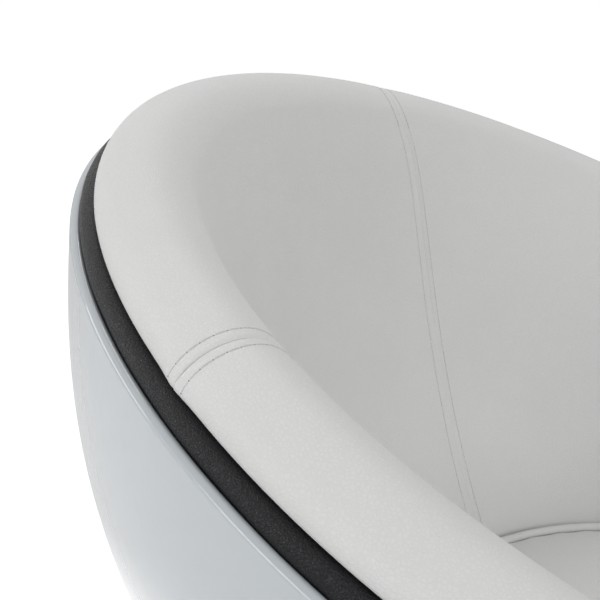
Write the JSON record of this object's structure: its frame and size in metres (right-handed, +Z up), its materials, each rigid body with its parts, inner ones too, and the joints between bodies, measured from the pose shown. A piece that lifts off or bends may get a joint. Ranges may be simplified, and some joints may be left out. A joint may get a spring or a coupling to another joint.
{
  "type": "swivel armchair",
  "caption": "Low tub armchair: a tilted glossy bowl lined with padded leather, with piping on its lip, turning on a chrome column over a round trumpet foot.",
  "frame": {"origin": "on the floor under the swivel axis, the middle of the floor pad's underside", "axes": "+Z up along the swivel axis; -Y to the chair's front; +X to the sitter's left"},
  "size_m": [0.7306, 0.6839, 0.7879],
  "materials": {
    "gloss_shell": "high gloss lacquered white moulding",
    "moulded_liner": "matte moulded",
    "black_leather": "black grained leather",
    "white_leather": "off-white fine pebble grain, semi matt",
    "plywood": "raw birch ply",
    "zinc_steel": "zinc plated",
    "black_steel": "black powder coat",
    "chrome": "polished chrome",
    "brass": "plain brass",
    "nylon": "natural nylon",
    "cast_iron": "painted casting",
    "rubber": "matte rubber"
  },
  "bodies": {
    "base": {"upper_bush": "nylon", "lower_bush": "nylon", "lower_race": "zinc_steel", "column": "chrome", "neck_ring": "chrome", "base_disc": "chrome", "ballast": "cast_iron", "floor_pad": "rubber", "column_screw_1": "zinc_steel", "column_screw_2": "zinc_steel", "column_screw_3": "zinc_steel", "column_screw_4": "zinc_steel"},
    "ball_ring": {"ball_cage": "brass", "bearing_ball_1": "zinc_steel", "bearing_ball_2": "zinc_steel", "bearing_ball_3": "zinc_steel", "bearing_ball_4": "zinc_steel", "bearing_ball_5": "zinc_steel", "bearing_ball_6": "zinc_steel", "bearing_ball_7": "zinc_steel", "bearing_ball_8": "zinc_steel"},
    "seat": {"shell": "gloss_shell", "liner": "moulded_liner", "rim_piping": "black_leather", "back_pad": "white_leather", "left_arm_pad": "white_leather", "front_pad": "white_leather", "right_arm_pad": "white_leather", "seat_cushion": "white_leather", "cushion_welt": "white_leather", "seat_board": "plywood", "reinforcement_disc": "plywood", "mounting_plate": "black_steel", "spindle": "zinc_steel", "upper_race": "zinc_steel", "bearing_cover": "chrome", "thrust_washer": "zinc_steel", "retaining_ring": "zinc_steel", "mounting_bolt_1": "zinc_steel", "mounting_bolt_2": "zinc_steel", "mounting_bolt_3": "zinc_steel", "mounting_bolt_4": "zinc_steel", "tee_nut_1": "zinc_steel", "tee_nut_2": "zinc_steel", "tee_nut_3": "zinc_steel", "tee_nut_4": "zinc_steel", "board_screw_1": "zinc_steel", "board_screw_2": "zinc_steel", "board_screw_3": "zinc_steel", "board_screw_4": "zinc_steel"}
  },
  "joints": [
    {"name": "seat_swivel", "type": "hinge", "parent": "base", "child": "seat", "pos_m": [0, 0, 0.2], "axis": [0, 0, 1], "continuous": true},
    {"name": "cage_spin", "type": "hinge", "parent": "base", "child": "ball_ring", "pos_m": [0, 0, 0.2], "axis": [0, 0, 1], "continuous": true}
  ],
  "couplings": [
    {"joint": "cage_spin", "follows": "seat_swivel", "ratio": 0.5}
  ]
}
